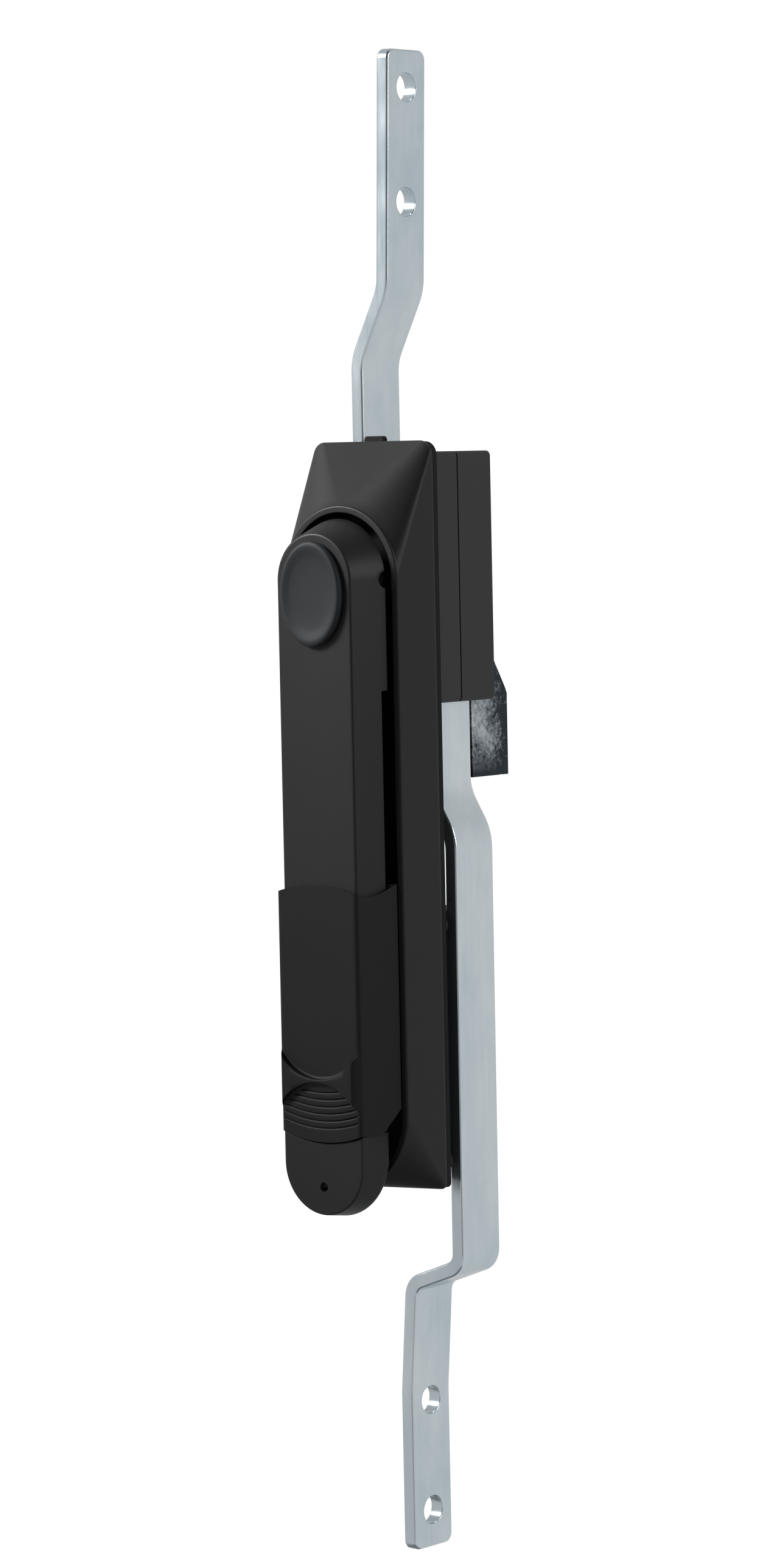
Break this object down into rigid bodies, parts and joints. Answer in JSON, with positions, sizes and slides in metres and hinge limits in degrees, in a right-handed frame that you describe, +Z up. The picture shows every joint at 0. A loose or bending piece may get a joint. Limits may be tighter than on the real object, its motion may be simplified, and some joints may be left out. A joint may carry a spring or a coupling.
{
  "type": "swing handle rod lock",
  "caption": "Cabinet swing handle in a long dish with sliding thumb cover, tilting lever, geared flat rods, latch cam and keyed locking bar behind the door.",
  "frame": {"origin": "spindle axis where it crosses the face of the gasket that rests on the door", "axes": "+X right seen from the front, +Y from the front of the door to its inside, +Z up"},
  "size_m": [0.041, 0.0708, 0.4067],
  "materials": {
    "handle_coat": "fine matte powder coat on die-cast zinc",
    "cap_plastic": "fine matte grain, slightly blue grey",
    "cover_plastic": "fine matte grain",
    "gasket_rubber": "dull black",
    "box_plastic": "moulded, even matte",
    "well_plastic": "moulded, even matte",
    "zinc_rod": "bright zinc plate with faint clouding and fine scratches",
    "cam_plate": "bright nickel plate over an uneven casting",
    "zinc_screw": "bright zinc plate",
    "black_screw": "blackened steel",
    "sheet_steel": "zinc plated sheet",
    "black_casting": "die casting, coated dull black",
    "spring_steel": "oiled spring wire",
    "ground_pin": "ground steel",
    "spindle_steel": "drawn square bar",
    "sintered_steel": "sintered, slightly porous",
    "nickel": "satin nickel plate",
    "brass_plug": "turned brass"
  },
  "bodies": {
    "dish_assembly": {"dish": "handle_coat", "gasket": "gasket_rubber", "gearbox_front": "box_plastic", "gearbox_rear": "box_plastic", "gearbox_screws": "zinc_screw", "clamp_screws": "zinc_screw", "lock_well": "well_plastic", "well_screws": "black_screw", "lock_cylinder": "nickel", "cylinder_screw": "zinc_screw", "bar_guides": "well_plastic"},
    "rotor": {"rotor": "black_casting", "retaining_ring": "spring_steel", "cross_pin": "ground_pin", "tilt_spring": "spring_steel", "spindle": "spindle_steel", "pinion": "sintered_steel", "cam": "cam_plate", "cam_washer": "zinc_screw", "cam_screw": "zinc_screw"},
    "lever": {"handle_lever": "handle_coat", "pivot_cap": "cap_plastic", "detent_ball": "ground_pin", "detent_spring": "spring_steel"},
    "cover": {"slide_cover": "cover_plastic"},
    "plug": {"cylinder_plug": "brass_plug", "cylinder_cam": "sintered_steel"},
    "locking_bar": {"lock_bar": "sheet_steel"},
    "upper_rod": {"rod_upper": "zinc_rod"},
    "lower_rod": {"rod_lower": "zinc_rod"}
  },
  "joints": [
    {"name": "handle_swing", "type": "hinge", "parent": "dish_assembly", "child": "rotor", "pos_m": [0, 0, 0], "axis": [0, -1, 0], "range_deg": [0, 90]},
    {"name": "handle_tilt", "type": "hinge", "parent": "rotor", "child": "lever", "pos_m": [0, -0.0169, 0], "axis": [-1, 0, 0], "range_deg": [0, 20]},
    {"name": "cover_slide", "type": "slide", "parent": "lever", "child": "cover", "axis": [0, 0, 1], "range_m": [0, 0.042]},
    {"name": "key_turn", "type": "hinge", "parent": "dish_assembly", "child": "plug", "pos_m": [0, 0, -0.1197], "axis": [0, -1, 0], "range_deg": [0, 90]},
    {"name": "bar_lift", "type": "slide", "parent": "dish_assembly", "child": "locking_bar", "axis": [0, 0, 1], "range_m": [0, 0.006]},
    {"name": "rod_upper_slide", "type": "slide", "parent": "dish_assembly", "child": "upper_rod", "axis": [0, 0, -1], "range_m": [0, 0.01575]},
    {"name": "rod_lower_slide", "type": "slide", "parent": "dish_assembly", "child": "lower_rod", "axis": [0, 0, 1], "range_m": [0, 0.01575]}
  ],
  "couplings": [
    {"joint": "rod_upper_slide", "follows": "handle_swing", "m_per_rad": 0.01},
    {"joint": "rod_lower_slide", "follows": "handle_swing", "m_per_rad": 0.01},
    {"joint": "key_turn", "follows": "bar_lift", "rad_per_m": 261.8}
  ]
}
